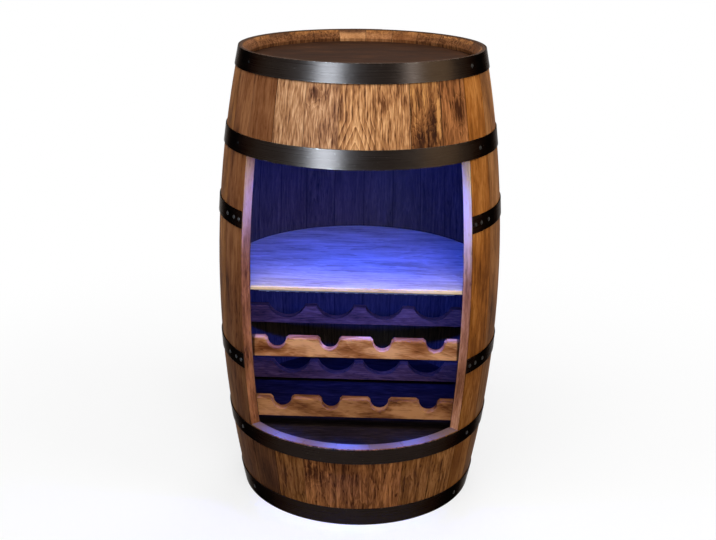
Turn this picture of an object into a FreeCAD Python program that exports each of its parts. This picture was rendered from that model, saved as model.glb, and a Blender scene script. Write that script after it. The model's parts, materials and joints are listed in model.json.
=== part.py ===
import FreeCAD, Part
import math
import os

# A barrel bar cabinet: an upright coopered barrel with an open front, one shelf and a rack for eight bottles.
# Lengths are in millimetres and angles in degrees. +Z is up, the origin is on the barrel's axis at the floor,
# and the opening faces -Y. Angles go round the barrel from the middle of the opening towards +X.

# ---- Barrel ----
HEIGHT = 800.0
END_RADIUS = 208.0
BELLY_RADIUS = 249.5
STAVE_THICKNESS = 19.0
STAVE_COUNT = 25
STAVE_CHAMFER = 0.7
END_BEVEL = 2.0

# ---- Front opening ----
OPENING_STAVES = 7
OPENING_ABOVE_FLOOR = 158.0
OPENING_BELOW_TOP = 160.0

# ---- Hoops, with their nails and rivets ----
HOOP_THICKNESS = 1.5
HOOP_CLEARANCE = 0.2
HOOP_REVEAL = 1.5
TOP_CHIME_HOOP_WIDTH = 31.0
TOP_QUARTER_HOOP_WIDTH = 31.0
UPPER_BILGE_HOOP_WIDTH = 29.0
LOWER_BILGE_HOOP_WIDTH = 27.5
BOTTOM_QUARTER_HOOP_WIDTH = 28.0
BOTTOM_CHIME_HOOP_WIDTH = 35.0
UPPER_BILGE_HOOP_RISE = 131.0
LOWER_BILGE_HOOP_DROP = 119.0
LAP_ANGLE = 16.0
RIVET_SPACING_ANGLE = 8.0
RIVET_HEAD_RADIUS = 4.5
RIVET_HEAD_HEIGHT = 2.0
RIVET_SHANK_RADIUS = 2.0
NAIL_HEAD_RADIUS = 3.5
NAIL_HEAD_HEIGHT = 1.6
NAIL_SHANK_RADIUS = 1.5
NAIL_LENGTH = 16.0
NAILED_STAVES = (-11, -4, 4, 11)
REAR_NAILED_STAVES = (-11, 11)
END_NAIL_SETBACKS = (8.0, 25.0, 51.0)

# ---- Heads ----
HEAD_THICKNESS = 14.0
HEAD_RECESS = 19.0
HEAD_TONGUE_THICKNESS = 8.0
HEAD_BEVEL_WIDTH = 12.0
CROZE_DEPTH = 4.0

# ---- Boards inside, and the cleats under them ----
FLOOR_TOP_BELOW_OPENING = 8.0
FLOOR_THICKNESS = 12.0
SHELF_THICKNESS = 8.0
SHELF_FRONT_Y = -143.0
CLEAT_WIDTH = 56.0
CLEAT_DEPTH = 18.0
CLEAT_HEIGHT = 20.0
FLOOR_CLEAT_STAVES = (-9, -3, 3, 9)
SHELF_CLEAT_STAVES = (-11, -5, 5, 11)
SCREW_SPACING = 30.0
SCREW_HEAD_RADIUS = 4.0
SCREW_SHANK_RADIUS = 2.0
SCREW_LENGTH = 30.0

# ---- Bottle rack ----
BOTTLES_PER_ROW = 4
RAIL_HEIGHT = 34.0
RAIL_THICKNESS = 18.0
RAIL_ROUNDING = 1.5
FRONT_RAIL_Y = -137.0
REAR_RAIL_Y = 55.0
REAR_RAIL_DROP = 12.0
REAR_RAIL_ABOVE_FLOOR = 8.0
ROW_SPACING = 112.5
SHELF_ABOVE_ROW = 96.5
NECK_NOTCH_RADIUS = 16.0
NECK_NOTCH_FLARE = 5.0
BODY_CRADLE_RADIUS = 38.0
BODY_AXIS_RISE = 3.0
DOWEL_RADIUS = 3.0
DOWEL_LENGTH = 24.0

# ---- Lighting ----
STRIP_WIDTH = 10.0
STRIP_THICKNESS = 2.5
STRIP_EDGE_GAP = 4.0
TOP_STRIP_ANGLE = 86.0
SHELF_STRIP_LENGTH = 330.0
CHIP_SIZE = 5.0
CHIP_THICKNESS = 1.6
CHIP_PITCH = 16.7
CONTROLLER_ANGLE = 165.0
CONTROLLER_ABOVE_OPENING = 50.0
CONTROLLER_WIDTH = 60.0
CONTROLLER_HEIGHT = 34.0
CONTROLLER_DEPTH = 13.0
CONTROLLER_ROUNDING = 2.0
PAD_MARGIN = 4.0
PAD_THICKNESS = 2.0
GROMMET_STAVE = 12
GROMMET_BELOW_OPENING_TOP = 20.0
GROMMET_BORE_RADIUS = 5.0
GROMMET_BODY_RADIUS = 8.0
GROMMET_FLANGE_RADIUS = 11.0
GROMMET_FLANGE_THICKNESS = 2.5
GROMMET_STAND_IN = 2.0

# ---- Clearances ----
FIT_GAP = 0.3
CROZE_GAP = 0.2
PIN_GAP = 0.05
CHIP_GAP = 0.05
GROMMET_GAP = 0.1
DRILL_EXTRA = 0.5
CUTTER_EXTRA = 1.0
SAME = 0.001

# ---- Derived places ----
MIDDLE = HEIGHT / 2
BULGE = BELLY_RADIUS - END_RADIUS
CURVE_RADIUS = (MIDDLE**2 + BULGE**2) / (2 * BULGE)
CURVE_CENTRE = BELLY_RADIUS - CURVE_RADIUS
STAVE_ANGLE = 360.0 / STAVE_COUNT
OPENING_EDGE = STAVE_ANGLE * OPENING_STAVES / 2
OPENING_TOP = HEIGHT - OPENING_BELOW_TOP
FLOOR_TOP = OPENING_ABOVE_FLOOR - FLOOR_TOP_BELOW_OPENING
LOWER_ROW_Z = FLOOR_TOP + REAR_RAIL_ABOVE_FLOOR + RAIL_HEIGHT + REAR_RAIL_DROP
UPPER_ROW_Z = LOWER_ROW_Z + ROW_SPACING
SHELF_TOP = UPPER_ROW_Z + SHELF_ABOVE_ROW
SHELF_BOTTOM = SHELF_TOP - SHELF_THICKNESS
HOOP_OUTSIDE = HOOP_CLEARANCE + HOOP_THICKNESS
REACH = BELLY_RADIUS + STAVE_THICKNESS

ORIGIN = FreeCAD.Vector(0, 0, 0)
X_AXIS = FreeCAD.Vector(1, 0, 0)
Y_AXIS = FreeCAD.Vector(0, 1, 0)
UP = FreeCAD.Vector(0, 0, 1)


# ---- The barrel's curve ----
def curve_radius(z, inset=0.0):
    """Radius at height z of the curve that lies inset mm inside the barrel's outside."""
    return CURVE_CENTRE + math.sqrt((CURVE_RADIUS - inset) ** 2 - (z - MIDDLE) ** 2)


def wall_radius(z):
    """Radius of the staves' inside face at height z."""
    return curve_radius(z, STAVE_THICKNESS)


def tilt_at(z):
    """How far the barrel's outward normal points up at height z."""
    return math.degrees(math.asin((z - MIDDLE) / CURVE_RADIUS))


def wall_half_width(y, z):
    """Half the distance from wall to wall along X at the given y and height."""
    return math.sqrt(wall_radius(z) ** 2 - y**2)


# ---- Shapes about the barrel's axis ----
def profile_point(radius, z):
    """A point of a profile, which stands at the middle of the opening."""
    return FreeCAD.Vector(0, -radius, z)


def curve_arc(bottom, top, inset=0.0):
    """The barrel's curve from one height to another, as an edge."""
    heights = (bottom, (bottom + top) / 2, top)
    return Part.Arc(*[profile_point(curve_radius(z, inset), z) for z in heights]).toShape()


def outline(*corners):
    """Straight edges through (radius, z) corners."""
    points = [profile_point(radius, z) for radius, z in corners]
    return [Part.makeLine(start, end) for start, end in zip(points, points[1:])]


def swept(edges, start=0.0, end=360.0):
    """A closed profile turned about the barrel's axis from one angle to another."""
    face = Part.Face(Part.Wire(edges))
    return face.rotated(ORIGIN, UP, start).revolve(ORIGIN, UP, end - start)


def ring(inner, outer, bottom, top):
    """A plain ring about the barrel's axis."""
    return swept(outline((inner, bottom), (outer, bottom), (outer, top), (inner, top), (inner, bottom)))


def band(bottom, top, inside, outside, start=0.0, end=360.0):
    """A strip bent along the barrel between two offsets from its outside, level at both edges."""
    middle = (bottom + top) / 2
    tilt = math.radians(tilt_at(middle))

    def corner(offset, z):
        return curve_radius(middle) + offset / math.cos(tilt) - (z - middle) * math.tan(tilt), z

    corners = [corner(inside, bottom), corner(outside, bottom), corner(outside, top), corner(inside, top)]
    return swept(outline(*corners, corners[0]), start, end)


# ---- Shapes along an outward axis, made at the origin with -Y outwards ----
def turned(*corners):
    """A solid of revolution about the outward axis, from (radius, outward) corners."""
    points = [FreeCAD.Vector(radius, -outward, 0) for radius, outward in corners]
    return Part.Face(Part.makePolygon(points + points[:1])).revolve(ORIGIN, Y_AXIS, 360)


def rod(radius, inner, outer):
    """A plain cylinder along the outward axis."""
    return turned((0, inner), (radius, inner), (radius, outer), (0, outer))


def domed_pin(head_radius, head_height, shank_radius, length):
    """A pin with a domed head that stands outside the origin and a shank that runs inwards."""
    dome_radius = (head_radius**2 + head_height**2) / (2 * head_height)
    below = dome_radius - head_height
    latitude = math.degrees(math.asin(below / dome_radius))
    dome = Part.makeSphere(dome_radius, below * Y_AXIS, -Y_AXIS, latitude, 90, 360)
    return dome.fuse(rod(shank_radius, -length, 0)).removeSplitter()


def placed(shape, angle, radius, z, tilt=0.0):
    """Moves a shape from the origin out to the barrel."""
    tilted = shape.rotated(ORIGIN, X_AXIS, -tilt)
    return tilted.translated(profile_point(radius, z)).rotated(ORIGIN, UP, angle)


def on_curve(shape, angle, z, offset=0.0):
    """Moves a shape out to the barrel's curve at height z, square to it, offset mm outside it."""
    tilt = tilt_at(z)
    lean = math.radians(tilt)
    return placed(
        shape, angle, curve_radius(z) + offset * math.cos(lean), z + offset * math.sin(lean), tilt
    )


# ---- Plain shapes ----
def box(x_range, y_range, z_range):
    """A block between two values on each axis."""
    low, high = zip(x_range, y_range, z_range)
    size = [b - a for a, b in zip(low, high)]
    return Part.makeBox(*size, FreeCAD.Vector(*low))


def rounded(block, radius, along):
    """A block with the edges that run along one direction rounded."""
    edges = [edge for edge in block.Edges if edge.tangentAt(edge.FirstParameter).cross(along).Length < SAME]
    return block.makeFillet(radius, edges)


def less(solid, cutters):
    """A solid less the cutters whose boxes meet its own."""
    near = [cutter for cutter in cutters if cutter.BoundBox.intersect(solid.BoundBox)]
    return solid.cut(near) if near else solid


def write(name, *shapes):
    """Writes one node, a single solid or a group of alike ones."""
    solids = [solid for shape in shapes for solid in shape.Solids]
    shape = solids[0] if len(solids) == 1 else Part.makeCompound(solids)
    shape.exportStep(f"parts/{name}.step")


# ---- The space inside the staves, which shapes the ends of everything fitted there ----
def make_cavity():
    """The inside of the barrel, a fitting gap smaller all round."""
    inset = STAVE_THICKNESS + FIT_GAP
    foot, crown = curve_radius(0, inset), curve_radius(HEIGHT, inset)
    sides = outline((crown, HEIGHT), (0, HEIGHT), (0, 0), (foot, 0))
    return swept([curve_arc(0, HEIGHT, inset), *sides])


CAVITY = make_cavity()


# ---- Hoops ----
def hoop_bands():
    """Bottom and top of each hoop: first the whole ones, then those that stop at the opening."""
    top_quarter = OPENING_TOP - HOOP_REVEAL
    bottom_quarter = OPENING_ABOVE_FLOOR - HOOP_REVEAL
    upper_bilge = MIDDLE + UPPER_BILGE_HOOP_RISE - UPPER_BILGE_HOOP_WIDTH / 2
    lower_bilge = MIDDLE - LOWER_BILGE_HOOP_DROP - LOWER_BILGE_HOOP_WIDTH / 2
    whole = {
        "hoop_top_chime": (HEIGHT - TOP_CHIME_HOOP_WIDTH, HEIGHT),
        "hoop_top_quarter": (top_quarter, top_quarter + TOP_QUARTER_HOOP_WIDTH),
        "hoop_bottom_quarter": (bottom_quarter - BOTTOM_QUARTER_HOOP_WIDTH, bottom_quarter),
        "hoop_bottom_chime": (0.0, BOTTOM_CHIME_HOOP_WIDTH),
    }
    cut = {
        "hoop_upper_bilge": (upper_bilge, upper_bilge + UPPER_BILGE_HOOP_WIDTH),
        "hoop_lower_bilge": (lower_bilge, lower_bilge + LOWER_BILGE_HOOP_WIDTH),
    }
    return whole, cut


def nail_angles(z, is_cut):
    """Where one hoop is nailed. A cut hoop has extra nails near its ends."""
    if not is_cut:
        return [stave * STAVE_ANGLE for stave in NAILED_STAVES]
    radius = curve_radius(z) + HOOP_OUTSIDE
    ends = [OPENING_EDGE + math.degrees(setback / radius) for setback in END_NAIL_SETBACKS]
    return [-angle for angle in ends] + ends + [stave * STAVE_ANGLE for stave in REAR_NAILED_STAVES]


def make_hoops():
    """Writes the hoops, nails and rivets, and returns the nail holes for the staves."""
    whole, cut = hoop_bands()
    nail = domed_pin(NAIL_HEAD_RADIUS, NAIL_HEAD_HEIGHT, NAIL_SHANK_RADIUS, NAIL_LENGTH)
    nail_hole = rod(NAIL_SHANK_RADIUS + PIN_GAP, -NAIL_LENGTH - DRILL_EXTRA, CUTTER_EXTRA)
    lap_thickness = 2 * HOOP_THICKNESS
    rivet = domed_pin(RIVET_HEAD_RADIUS, RIVET_HEAD_HEIGHT, RIVET_SHANK_RADIUS, lap_thickness)
    rivet_hole = rod(RIVET_SHANK_RADIUS + PIN_GAP, -lap_thickness - CUTTER_EXTRA, CUTTER_EXTRA)
    nails, nail_holes, rivets = [], [], []
    for name, (bottom, top) in {**whole, **cut}.items():
        middle = (bottom + top) / 2
        angles = nail_angles(middle, name in cut)
        nails += [on_curve(nail, angle, middle, HOOP_OUTSIDE) for angle in angles]
        holes = [on_curve(nail_hole, angle, middle, HOOP_OUTSIDE) for angle in angles]
        nail_holes += holes
        if name in cut:
            hoop = band(bottom, top, HOOP_CLEARANCE, HOOP_OUTSIDE, OPENING_EDGE, 360 - OPENING_EDGE)
        else:
            lap_outside = HOOP_OUTSIDE + HOOP_THICKNESS
            lap_ends = 180 - LAP_ANGLE / 2, 180 + LAP_ANGLE / 2
            hoop = band(bottom, top, HOOP_CLEARANCE, HOOP_OUTSIDE)
            hoop = hoop.fuse(band(bottom, top, HOOP_OUTSIDE, lap_outside, *lap_ends))
            for angle in (180 - RIVET_SPACING_ANGLE / 2, 180 + RIVET_SPACING_ANGLE / 2):
                rivets.append(on_curve(rivet, angle, middle, lap_outside))
                holes.append(on_curve(rivet_hole, angle, middle, lap_outside))
        write(name, less(hoop, holes))
    write("hoop_nails", *nails)
    write("hoop_rivets", *rivets)
    return nail_holes


# ---- Heads ----
def croze_middle(is_top):
    """Height of the middle of a head, which is also the middle of its groove."""
    from_end = HEAD_RECESS + HEAD_THICKNESS / 2
    return HEIGHT - from_end if is_top else from_end


def croze_groove(is_top):
    """The ring cut round the staves' inside that holds a head."""
    middle = croze_middle(is_top)
    half = HEAD_TONGUE_THICKNESS / 2 + CROZE_GAP
    wall = wall_radius(middle)
    return ring(wall - HEAD_THICKNESS, wall + CROZE_DEPTH, middle - half, middle + half)


def make_head(is_top):
    """A round board, bevelled on both sides to a tongue that sits in the croze groove."""
    middle = croze_middle(is_top)
    face, tongue = HEAD_THICKNESS / 2, HEAD_TONGUE_THICKNESS / 2
    rim = wall_radius(middle) + CROZE_DEPTH - CROZE_GAP
    narrow_end = middle + tongue if is_top else middle - tongue
    shoulder = wall_radius(narrow_end) - FIT_GAP
    flat = shoulder - HEAD_BEVEL_WIDTH
    upper = [(0, face), (flat, face), (shoulder, tongue), (rim, tongue)]
    corners = upper + [(radius, -height) for radius, height in reversed(upper)] + upper[:1]
    return swept(outline(*[(radius, middle + height) for radius, height in corners]))


# ---- Boards and cleats ----
def make_boards():
    """Writes the cabinet floor and the shelf, each with its cleats, and returns the screw holes."""
    floor = box((-REACH, REACH), (-REACH, REACH), (FLOOR_TOP - FLOOR_THICKNESS, FLOOR_TOP))
    write("cabinet_floor", floor.common(CAVITY))
    shelf = box((-REACH, REACH), (SHELF_FRONT_Y, REACH), (SHELF_BOTTOM, SHELF_TOP))
    write("shelf", shelf.common(CAVITY))

    screws, screw_holes = [], []
    supports = {
        "floor_cleats": (FLOOR_TOP - FLOOR_THICKNESS, FLOOR_CLEAT_STAVES),
        "shelf_cleats": (SHELF_BOTTOM, SHELF_CLEAT_STAVES),
    }
    for name, (top, staves) in supports.items():
        cleats, cleat_screws, cleat_holes = make_cleats(top, [stave * STAVE_ANGLE for stave in staves])
        write(name, *cleats)
        screws += cleat_screws
        screw_holes += cleat_holes
    write("cleat_screws", *screws)
    return screw_holes


def make_screw():
    """A flat-headed screw that runs outwards, and the countersunk hole for it."""
    head, shank = SCREW_HEAD_RADIUS, SCREW_SHANK_RADIUS
    cone = head - shank
    wide, narrow, deep = head + PIN_GAP, shank + PIN_GAP, SCREW_LENGTH + DRILL_EXTRA
    screw = turned((0, 0), (head, 0), (shank, cone), (shank, SCREW_LENGTH), (0, SCREW_LENGTH))
    above = -CUTTER_EXTRA
    hole = turned((0, above), (wide, above), (wide, 0), (narrow, cone), (narrow, deep), (0, deep))
    return screw, hole


def make_cleats(top, angles):
    """Blocks that follow the wall under a board, with two screws each, and the holes for them."""
    middle = top - CLEAT_HEIGHT / 2
    face = wall_radius(middle) - CLEAT_DEPTH
    half = CLEAT_WIDTH / 2
    block = box((-half, half), (-REACH, -face), (top - CLEAT_HEIGHT, top))
    screw, hole = make_screw()
    cleats, screws, holes = [], [], []
    for angle in angles:
        for side in (-SCREW_SPACING / 2, SCREW_SPACING / 2):
            shift = FreeCAD.Vector(side, 0, 0)
            screws.append(placed(screw.translated(shift), angle, face, middle))
            holes.append(placed(hole.translated(shift), angle, face, middle))
        cleat = block.rotated(ORIGIN, UP, angle).common(CAVITY)
        cleats.append(less(cleat, holes))
    return cleats, screws, holes


# ---- Bottle rack ----
def bottle_places(row_z):
    """X of each bottle in a row: the front rail's length between the walls, shared equally."""
    half = wall_half_width(FRONT_RAIL_Y, row_z - RAIL_HEIGHT / 2)
    pitch = 2 * half / BOTTLES_PER_ROW
    return [(index + 0.5) * pitch - half for index in range(BOTTLES_PER_ROW)]


def neck_notch(x, top):
    """The cut for one bottle neck: a round bottom with flared shoulders."""
    centre_z = top - NECK_NOTCH_FLARE
    above = top + CUTTER_EXTRA
    radius, mouth = NECK_NOTCH_RADIUS, NECK_NOTCH_RADIUS + NECK_NOTCH_FLARE

    def corner(dx, z):
        return FreeCAD.Vector(x + dx, FRONT_RAIL_Y - CUTTER_EXTRA, z)

    bowl = Part.Arc(corner(-radius, centre_z), corner(0, centre_z - radius), corner(radius, centre_z))
    sides = Part.makePolygon([
        corner(radius, centre_z),
        corner(mouth, top),
        corner(mouth, above),
        corner(-mouth, above),
        corner(-mouth, top),
        corner(-radius, centre_z),
    ])
    face = Part.Face(Part.Wire([bowl.toShape(), *sides.Edges]))
    return face.extrude((RAIL_THICKNESS + 2 * CUTTER_EXTRA) * Y_AXIS)


def body_cradle(x, row_z):
    """The cut for one bottle body: a cylinder along the bottle's axis."""
    start = FreeCAD.Vector(x, REAR_RAIL_Y - CUTTER_EXTRA, row_z + BODY_AXIS_RISE)
    return Part.makeCylinder(BODY_CRADLE_RADIUS, RAIL_THICKNESS + 2 * CUTTER_EXTRA, start, Y_AXIS)


def make_rail(name, y, top, cutters):
    """Writes one rail from wall to wall, and returns its end dowels and their holes."""
    middle_y, middle_z = y + RAIL_THICKNESS / 2, top - RAIL_HEIGHT / 2
    blank = box((-REACH, REACH), (y, y + RAIL_THICKNESS), (top - RAIL_HEIGHT, top))
    rail = rounded(blank, RAIL_ROUNDING, X_AXIS).common(CAVITY).cut(cutters)
    dowels, holes = [], []
    for side in (-1, 1):
        end_x = side * wall_half_width(middle_y, middle_z)
        for radius, extra, made in ((DOWEL_RADIUS, 0, dowels), (DOWEL_RADIUS + PIN_GAP, DRILL_EXTRA, holes)):
            start = FreeCAD.Vector(end_x - DOWEL_LENGTH / 2 - extra, middle_y, middle_z)
            made.append(Part.makeCylinder(radius, DOWEL_LENGTH + 2 * extra, start, X_AXIS))
    write(name, less(rail, holes))
    return dowels, holes


def make_rack():
    """Writes the four rails and their dowels, and returns the dowel holes for the staves."""
    dowels, dowel_holes = [], []
    for row, row_z in (("upper", UPPER_ROW_Z), ("lower", LOWER_ROW_Z)):
        places = bottle_places(row_z)
        notches = [neck_notch(x, row_z) for x in places]
        cradles = [body_cradle(x, row_z) for x in places]
        front = make_rail(f"front_rail_{row}", FRONT_RAIL_Y, row_z, notches)
        rear = make_rail(f"rear_rail_{row}", REAR_RAIL_Y, row_z - REAR_RAIL_DROP, cradles)
        for rail_dowels, rail_holes in (front, rear):
            dowels += rail_dowels
            dowel_holes += rail_holes
    write("rail_dowels", *dowels)
    return dowel_holes


# ---- Lighting ----
def centred(count, pitch):
    """Evenly spaced values about zero."""
    return [(index - (count - 1) / 2) * pitch for index in range(count)]


def make_top_strip():
    """Writes the light strip bent round the inside above the opening, and its chips."""
    bottom = OPENING_TOP + STRIP_EDGE_GAP
    middle = bottom + STRIP_WIDTH / 2
    back = -STAVE_THICKNESS - FIT_GAP
    face = back - STRIP_THICKNESS
    half = TOP_STRIP_ANGLE / 2
    write("led_strip_top", band(bottom, bottom + STRIP_WIDTH, face, back, -half, half))
    chip_angle = math.degrees(CHIP_PITCH / wall_radius(middle))
    chip_back = face - CHIP_GAP
    chip = box(
        (-CHIP_SIZE / 2, CHIP_SIZE / 2),
        (0, CHIP_THICKNESS),
        (-CHIP_SIZE / 2, CHIP_SIZE / 2),
    )
    count = int(TOP_STRIP_ANGLE / chip_angle)
    chips = [on_curve(chip, angle, middle, chip_back) for angle in centred(count, chip_angle)]
    write("led_chips_top", *chips)


def make_shelf_strip():
    """Writes the light strip under the shelf's front edge, and its chips."""
    half = SHELF_STRIP_LENGTH / 2
    front = SHELF_FRONT_Y + STRIP_EDGE_GAP
    middle = front + STRIP_WIDTH / 2
    face = SHELF_BOTTOM - STRIP_THICKNESS
    write("led_strip_shelf", box((-half, half), (front, front + STRIP_WIDTH), (face, SHELF_BOTTOM)))
    chip_top = face - CHIP_GAP
    chips = [
        box(
            (x - CHIP_SIZE / 2, x + CHIP_SIZE / 2),
            (middle - CHIP_SIZE / 2, middle + CHIP_SIZE / 2),
            (chip_top - CHIP_THICKNESS, chip_top),
        )
        for x in centred(int(SHELF_STRIP_LENGTH / CHIP_PITCH), CHIP_PITCH)
    ]
    write("led_chips_shelf", *chips)


def make_controller():
    """Writes the light controller, a small box near the wall, and the foam pad that holds it there."""
    bottom = OPENING_TOP + CONTROLLER_ABOVE_OPENING
    top = bottom + CONTROLLER_HEIGHT
    half = CONTROLLER_WIDTH / 2
    corner_y = math.sqrt(wall_radius(top) ** 2 - half**2)
    back = corner_y - PAD_THICKNESS
    case = box((-half, half), (-back, -back + CONTROLLER_DEPTH), (bottom, top))
    case = case.makeFillet(CONTROLLER_ROUNDING, case.Edges)
    write("led_controller", case.rotated(ORIGIN, UP, CONTROLLER_ANGLE))
    pad_half = half - PAD_MARGIN
    pad = box((-pad_half, pad_half), (-REACH, -back), (bottom + PAD_MARGIN, top - PAD_MARGIN))
    write("controller_pad", pad.rotated(ORIGIN, UP, CONTROLLER_ANGLE).common(CAVITY))


def make_grommet():
    """Writes the cable grommet in a rear stave, and returns its hole."""
    bore, body, flange = GROMMET_BORE_RADIUS, GROMMET_BODY_RADIUS, GROMMET_FLANGE_RADIUS
    inner, outer = -STAVE_THICKNESS - GROMMET_STAND_IN, GROMMET_FLANGE_THICKNESS
    angle, z = GROMMET_STAVE * STAVE_ANGLE, OPENING_TOP - GROMMET_BELOW_OPENING_TOP
    bush = turned((bore, inner), (body, inner), (body, 0), (flange, 0), (flange, outer), (bore, outer))
    write("cable_grommet", on_curve(bush, angle, z))
    hole = rod(body + GROMMET_GAP, -STAVE_THICKNESS - CUTTER_EXTRA, CUTTER_EXTRA)
    return on_curve(hole, angle, z)


# ---- Staves ----
def make_stave():
    """One whole stave at the middle of the opening, with both croze grooves and eased outer edges."""
    thickness, bevel = STAVE_THICKNESS, END_BEVEL
    inner_foot, inner_crown = curve_radius(0, thickness), curve_radius(HEIGHT, thickness)
    edges = [
        curve_arc(0, HEIGHT),
        *outline((curve_radius(HEIGHT), HEIGHT), (inner_crown + bevel, HEIGHT),
                 (curve_radius(HEIGHT - bevel, thickness), HEIGHT - bevel)),
        curve_arc(HEIGHT - bevel, bevel, thickness),
        *outline((curve_radius(bevel, thickness), bevel), (inner_foot + bevel, 0), (curve_radius(0), 0)),
    ]
    stave = swept(edges, -STAVE_ANGLE / 2, STAVE_ANGLE / 2)
    outer_edges = [edge for edge in stave.Edges if edge.BoundBox.ZLength > HEIGHT - SAME]
    stave = stave.makeChamfer(STAVE_CHAMFER, outer_edges)
    return stave.cut([croze_groove(False), croze_groove(True)])


def make_staves(holes):
    """Writes the whole staves and the short ones above and below the opening, drilled for what they hold."""
    stave = make_stave()
    opening = box((-REACH, REACH), (-REACH, 0), (OPENING_ABOVE_FLOOR, OPENING_TOP))
    lower, upper = sorted(stave.cut(opening).Solids, key=lambda solid: solid.BoundBox.ZMin)
    for index in range(OPENING_STAVES):
        angle = (index - (OPENING_STAVES - 1) / 2) * STAVE_ANGLE
        for name, short in (("lower_stave", lower), ("upper_stave", upper)):
            write(f"{name}_{index + 1}", less(short.rotated(ORIGIN, UP, angle), holes))
    for index in range(STAVE_COUNT - OPENING_STAVES):
        angle = OPENING_EDGE + (index + 0.5) * STAVE_ANGLE
        write(f"full_stave_{index + 1:02d}", less(stave.rotated(ORIGIN, UP, angle), holes))


def main():
    os.makedirs("parts", exist_ok=True)
    holes = make_hoops() + make_boards() + make_rack() + [make_grommet()]
    write("top_head", make_head(True))
    write("bottom_head", make_head(False))
    make_top_strip()
    make_shelf_strip()
    make_controller()
    make_staves(holes)


main()
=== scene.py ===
# %% [markdown]
# # A barrel bar cabinet
# The cabinet is an upright coopered barrel of brushed and stained softwood, bound by six dark steel hoops
# and cut open at the front over seven staves. Inside are a shelf, a rack for lying bottles and strips of
# blue light. Every piece comes in at its true size and place from the construction model, so none is moved
# or resized here. What is left to do is the finish: eased edges, wood figure, brushed steel, and the light
# that shows them.

# %% Load the cabinet
import json
import math
import random

import bpy
from mathutils import Matrix, Vector

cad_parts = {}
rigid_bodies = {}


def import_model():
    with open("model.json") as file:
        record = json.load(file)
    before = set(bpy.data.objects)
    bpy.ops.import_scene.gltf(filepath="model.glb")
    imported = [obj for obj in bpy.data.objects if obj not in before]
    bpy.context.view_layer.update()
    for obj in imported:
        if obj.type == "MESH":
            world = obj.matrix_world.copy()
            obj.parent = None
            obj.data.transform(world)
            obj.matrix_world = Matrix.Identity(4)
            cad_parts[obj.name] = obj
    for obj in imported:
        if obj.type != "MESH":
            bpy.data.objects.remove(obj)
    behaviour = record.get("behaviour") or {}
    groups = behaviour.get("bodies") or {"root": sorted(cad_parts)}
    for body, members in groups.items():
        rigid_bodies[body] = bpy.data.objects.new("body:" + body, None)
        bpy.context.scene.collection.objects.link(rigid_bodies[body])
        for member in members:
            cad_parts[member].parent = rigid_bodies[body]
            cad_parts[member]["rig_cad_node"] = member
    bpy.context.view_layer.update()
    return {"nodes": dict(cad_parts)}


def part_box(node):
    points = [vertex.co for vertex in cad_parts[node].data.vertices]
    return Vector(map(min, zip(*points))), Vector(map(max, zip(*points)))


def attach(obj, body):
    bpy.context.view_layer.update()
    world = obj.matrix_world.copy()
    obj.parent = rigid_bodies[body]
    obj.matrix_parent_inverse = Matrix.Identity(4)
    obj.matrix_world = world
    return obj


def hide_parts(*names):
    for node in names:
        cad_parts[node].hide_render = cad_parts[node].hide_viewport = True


MM = 0.001

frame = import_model()
nodes = frame["nodes"]

# %% [markdown]
# ## The barrel's own measures
# Patterns that follow the staves need the barrel's curve. Its height, end radius and belly radius are read
# from one whole stave, and an arc through them gives the radius at any height. The staves all have one
# width, so a stave's number is enough to say which way it faces.

# %% Measure the barrel
side_stave = [vertex.co for vertex in nodes["full_stave_05"].data.vertices]
HEIGHT = max(point.z for point in side_stave)
BELLY_RADIUS = max(point.xy.length for point in side_stave)
END_RADIUS = max(point.xy.length for point in side_stave if point.z < MM)
STAVE_THICKNESS = 19 * MM

MIDDLE = HEIGHT / 2
BULGE = BELLY_RADIUS - END_RADIUS
CURVE_RADIUS = (MIDDLE**2 + BULGE**2) / (2 * BULGE)
CURVE_CENTRE = BELLY_RADIUS - CURVE_RADIUS

upper_staves = sorted(name for name in nodes if name.startswith("upper_stave"))
lower_staves = sorted(name for name in nodes if name.startswith("lower_stave"))
full_staves = sorted(name for name in nodes if name.startswith("full_stave"))
all_staves = upper_staves + lower_staves + full_staves
STAVE_ANGLE = math.tau / (len(full_staves) + len(upper_staves))
print(f"radius {END_RADIUS / MM:.1f} mm at the ends and {BELLY_RADIUS / MM:.1f} mm at the belly")


# %% Say which way a stave faces
def facing(name):
    """The angle of a stave's middle round the barrel, from the middle of the opening towards +X."""
    number = int(name.rsplit("_", 1)[1])
    before = (len(upper_staves) - 1) / 2
    if name in full_staves:
        return (number + before) * STAVE_ANGLE
    return (number - 1 - before) * STAVE_ANGLE


print(f"the first full stave faces {math.degrees(facing(full_staves[0])):.1f} degrees off the front")

# %% [markdown]
# ## Eased edges
# Most edges of the construction model are sharp. On the real cabinet sawn edges were softened with a plane
# or sandpaper, and the steel was deburred, and those small rounds catch the light. They could be faked in
# the shader, but only real ones show in a close look and in a print. So such a piece is copied, its doubled
# points are merged, the sharp edges that matter are picked by their place, and those alone are beveled. The
# normals that came with the piece no longer fit it then, so they are cleared. The copy stands for the
# piece.

# %% Copy a piece and ease its edges
SAME_POINT = 0.01 * MM
SLIVER = 0.02 * MM
FLAT_ANGLE = math.radians(0.5)
SHARP_ANGLE = math.radians(50)
SMOOTH_ANGLE = math.radians(18)
EASED = {}


def outline(mesh, place_test):
    """Keeps selected, among the selected edges of a mesh, those whose middle passes the test."""
    for edge in mesh.edges:
        first, second = (mesh.vertices[index] for index in edge.vertices)
        edge.select = edge.select and place_test((first.co + second.co) / 2)
    kept = {index for edge in mesh.edges if edge.select for index in edge.vertices}
    for vertex in mesh.vertices:
        vertex.select = vertex.index in kept


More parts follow.
